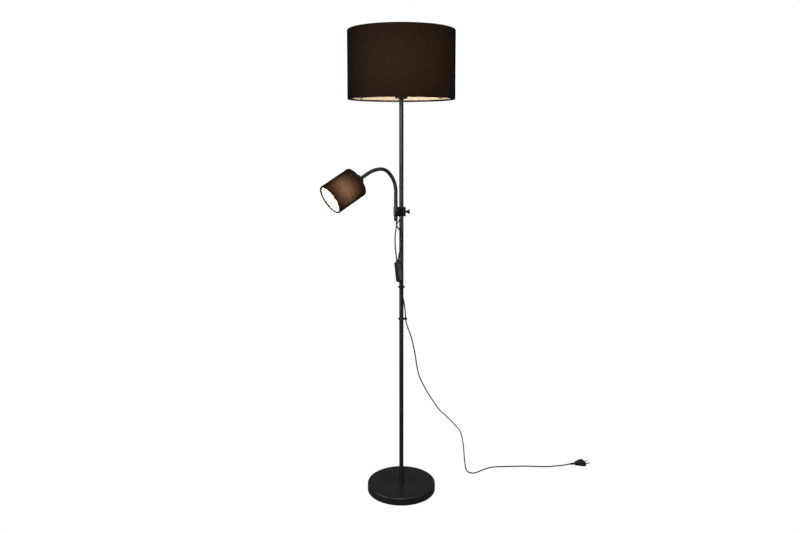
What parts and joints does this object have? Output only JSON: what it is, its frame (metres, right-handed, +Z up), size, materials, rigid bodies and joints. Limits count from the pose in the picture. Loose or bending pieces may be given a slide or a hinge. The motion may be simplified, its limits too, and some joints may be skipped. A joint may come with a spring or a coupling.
{
  "type": "floor lamp",
  "caption": "Floor lamp with a black drum shade on a slim pole, a heavy round base and a clamped reading light on a flexible neck.",
  "frame": {"origin": "centre of the base's underside, on the floor", "axes": "+Z up along the pole; -X towards the side that the reading light's clamp carries; -Y towards the front"},
  "size_m": [0.9865, 0.6892, 1.6001],
  "materials": {
    "black_coated_steel": "fine-textured matt black powder coat",
    "ballast_cement": "rough grey cast cement",
    "zinc_steel": "bright zinc plate",
    "pin_brass": "nickel-plated brass pins",
    "thread_brass": "bright brass",
    "pad_rubber": "matt black rubber",
    "black_plastic": "moulded black plastic",
    "neck_sheath": "soft black sleeve over a flexible neck",
    "cord_sheath": "black PVC flex",
    "black_cloth": "black slubbed linen-look cloth",
    "warm_lining": "cream laminated lining",
    "black_cloth_small": "black slubbed linen-look cloth",
    "pale_lining": "white laminated lining",
    "lit_glass": "opal glass, lit",
    "lit_glass_small": "opal glass, lit"
  },
  "bodies": {
    "root": {"base_pad": "pad_rubber", "base_weight": "ballast_cement", "base_cover": "black_coated_steel", "stem_nut": "zinc_steel", "stem_stud": "zinc_steel", "foot_collar": "black_coated_steel", "pole_1": "black_coated_steel", "pole_2": "black_coated_steel", "pole_3": "black_coated_steel", "pole_4": "black_coated_steel", "pole_joiner_1": "zinc_steel", "pole_joiner_2": "zinc_steel", "pole_joiner_3": "zinc_steel", "cord_clip_1": "black_plastic", "cord_clip_2": "black_plastic", "pole_grommet": "pad_rubber", "holder_body": "black_plastic", "holder_thread": "thread_brass", "main_bulb_cap": "thread_brass", "main_bulb_glass": "lit_glass", "shade_nut_ring": "black_plastic", "shade_spider": "zinc_steel", "shade_wire_bottom": "zinc_steel", "shade_wire_top": "zinc_steel", "shade_lining": "warm_lining", "shade_fabric": "black_cloth", "supply_cord": "cord_sheath", "plug_body": "black_plastic", "plug_pin_left": "pin_brass", "plug_pin_right": "pin_brass"},
    "carriage": {"clamp_bush": "black_plastic", "switch_shell_front": "black_plastic", "switch_shell_back": "black_plastic", "switch_screw": "zinc_steel", "switch_relief": "pad_rubber", "cord_main_lamp": "cord_sheath", "cord_reading_lamp": "cord_sheath"},
    "clamp": {"clamp_block": "black_plastic", "neck_sleeve": "black_coated_steel", "neck_1": "neck_sheath"},
    "wing_screw": {"wing_screw": "black_plastic"},
    "neck_a": {"neck_2": "neck_sheath"},
    "neck_b": {"neck_3": "neck_sheath"},
    "neck_c": {"neck_4": "neck_sheath"},
    "neck_d": {"neck_5": "neck_sheath"},
    "head": {"neck_6": "neck_sheath", "head_cap": "black_plastic", "head_holder": "black_plastic", "head_thread": "thread_brass", "head_bulb_cap": "thread_brass", "head_bulb_glass": "lit_glass_small", "head_nut_ring": "black_plastic", "head_spider": "zinc_steel", "head_wire_back": "zinc_steel", "head_wire_front": "zinc_steel", "head_lining": "pale_lining", "head_shade": "black_cloth_small"},
    "rocker_main": {"rocker_main": "black_plastic"},
    "rocker_reading": {"rocker_reading": "black_plastic"}
  },
  "joints": [
    {"name": "clamp_height", "type": "slide", "parent": "root", "child": "carriage", "axis": [0, 0, 1], "range_m": [0, 0.04]},
    {"name": "clamp_swivel", "type": "hinge", "parent": "carriage", "child": "clamp", "pos_m": [0, 0, 0.993], "axis": [0, 0, 1], "range_deg": [-60, 40]},
    {"name": "wing_screw_turn", "type": "hinge", "parent": "clamp", "child": "wing_screw", "pos_m": [0.02, 0, 0.99305], "axis": [1, 0, 0], "range_deg": [0, 360]},
    {"name": "neck_bend", "type": "hinge", "parent": "clamp", "child": "neck_a", "pos_m": [-0.02288, -0.00243, 1.08981], "axis": [-0.5299, 0.848, 0], "range_deg": [-14, 10]},
    {"name": "neck_bend_2", "type": "hinge", "parent": "neck_a", "child": "neck_b", "pos_m": [-0.03632, -0.01082, 1.11855], "axis": [-0.5299, 0.848, 0], "range_deg": [-14, 10]},
    {"name": "neck_bend_3", "type": "hinge", "parent": "neck_b", "child": "neck_c", "pos_m": [-0.05849, -0.02468, 1.13783], "axis": [-0.5299, 0.848, 0], "range_deg": [-14, 10]},
    {"name": "head_tilt", "type": "hinge", "parent": "neck_c", "child": "neck_d", "pos_m": [-0.0862, -0.04199, 1.13769], "axis": [-0.5299, 0.848, 0], "range_deg": [-14, 10]},
    {"name": "head_tilt_2", "type": "hinge", "parent": "neck_d", "child": "head", "pos_m": [-0.11209, -0.05817, 1.12557], "axis": [-0.5299, 0.848, 0], "range_deg": [-14, 10]},
    {"name": "rocker_main_press", "type": "hinge", "parent": "carriage", "child": "rocker_main", "pos_m": [-0.01293, -0.0261, 0.79624], "axis": [-0.4975, 0.866, -0.0497], "range_deg": [-6, 6]},
    {"name": "rocker_reading_press", "type": "hinge", "parent": "carriage", "child": "rocker_reading", "pos_m": [-0.01134, -0.0261, 0.78031], "axis": [-0.4975, 0.866, -0.0497], "range_deg": [-6, 6]}
  ],
  "couplings": [
    {"joint": "neck_bend_2", "follows": "neck_bend", "ratio": 1},
    {"joint": "neck_bend_3", "follows": "neck_bend", "ratio": 1},
    {"joint": "head_tilt_2", "follows": "head_tilt", "ratio": 1}
  ]
}
